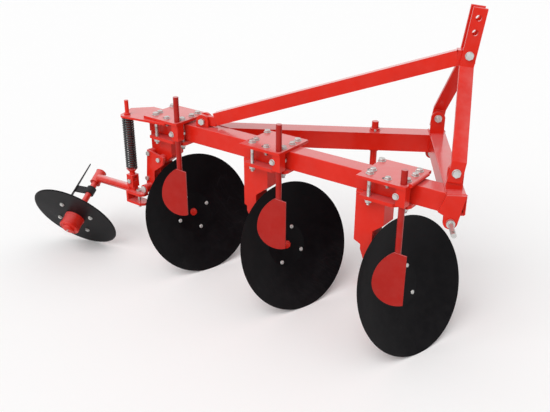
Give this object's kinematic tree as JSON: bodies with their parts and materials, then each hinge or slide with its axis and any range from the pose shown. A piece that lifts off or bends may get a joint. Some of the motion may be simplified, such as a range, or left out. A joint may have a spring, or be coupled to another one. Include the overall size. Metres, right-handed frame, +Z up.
{
  "type": "three-point mounted disc plough",
  "caption": "Tilted dished discs hang in a staggered row under a slanting square beam, with a three-point hitch, mast and stay, disc scrapers and a sprung furrow wheel behind.",
  "frame": {"origin": "on the ground under the middle of the plough's bounding box", "axes": "+X forward in the direction of travel, +Y to the left, +Z up"},
  "size_m": [2.378, 1.4322, 1.5569],
  "materials": {
    "red_paint": "glossy enamel",
    "disc_black": "satin black with light scratches",
    "wheel_black": "satin dark grey",
    "scraper_steel": "dull dark steel",
    "spring_steel": "satin black",
    "zinc_steel": "zinc plated"
  },
  "bodies": {
    "frame": {"brace_beam": "red_paint", "clamp_bolts_front": "zinc_steel", "clamp_bolts_middle": "zinc_steel", "clamp_bolts_rear": "zinc_steel", "cross_beam": "red_paint", "hitch_plate_left": "red_paint", "hitch_plate_right": "red_paint", "leg_front": "red_paint", "leg_middle": "red_paint", "leg_rear": "red_paint", "lower_pin_left": "zinc_steel", "lower_pin_right": "zinc_steel", "main_beam": "red_paint", "mast_bolts": "zinc_steel", "mast_lugs": "red_paint", "mast_strap_left": "red_paint", "mast_strap_right": "red_paint", "pivot_bracket": "red_paint", "pivot_pins": "zinc_steel", "scraper_block_front": "red_paint", "scraper_block_middle": "red_paint", "scraper_block_rear": "red_paint", "scraper_front": "red_paint", "scraper_middle": "red_paint", "scraper_rear": "red_paint", "spring": "spring_steel", "spring_plate": "red_paint", "spring_rod": "red_paint", "stand_sleeve": "red_paint", "stay_bolt": "zinc_steel", "stay_lugs": "red_paint", "swing_arm": "red_paint", "top_plate_front": "red_paint", "top_plate_middle": "red_paint", "top_plate_rear": "red_paint", "top_stay": "red_paint", "wheel_axle": "red_paint", "wheel_scraper": "scraper_steel"},
    "disc_front": {"disc_blade_front": "disc_black", "disc_hub_front": "red_paint"},
    "disc_middle": {"disc_blade_middle": "disc_black", "disc_hub_middle": "red_paint"},
    "disc_rear": {"disc_blade_rear": "disc_black", "disc_hub_rear": "red_paint"},
    "furrow_wheel": {"wheel_disc": "wheel_black", "wheel_hub": "red_paint"},
    "stand": {"stand_leg": "red_paint"}
  },
  "joints": [
    {"name": "disc_front_spin", "type": "hinge", "parent": "frame", "child": "disc_front", "pos_m": [0.93627, -0.36681, 0.31403], "axis": [0.6429, -0.7016, 0.3074], "continuous": true},
    {"name": "disc_middle_spin", "type": "hinge", "parent": "frame", "child": "disc_middle", "pos_m": [0.3737, -0.02744, 0.31403], "axis": [0.6429, -0.7016, 0.3074], "continuous": true},
    {"name": "disc_rear_spin", "type": "hinge", "parent": "frame", "child": "disc_rear", "pos_m": [-0.18886, 0.31192, 0.31403], "axis": [0.6429, -0.7016, 0.3074], "continuous": true},
    {"name": "furrow_wheel_spin", "type": "hinge", "parent": "frame", "child": "furrow_wheel", "pos_m": [-0.94002, 0.36916, 0.22121], "axis": [-0.2473, -0.8244, -0.509], "continuous": true},
    {"name": "stand_slide", "type": "slide", "parent": "frame", "child": "stand", "axis": [0, 0, 1], "range_m": [0, 0.36]}
  ]
}
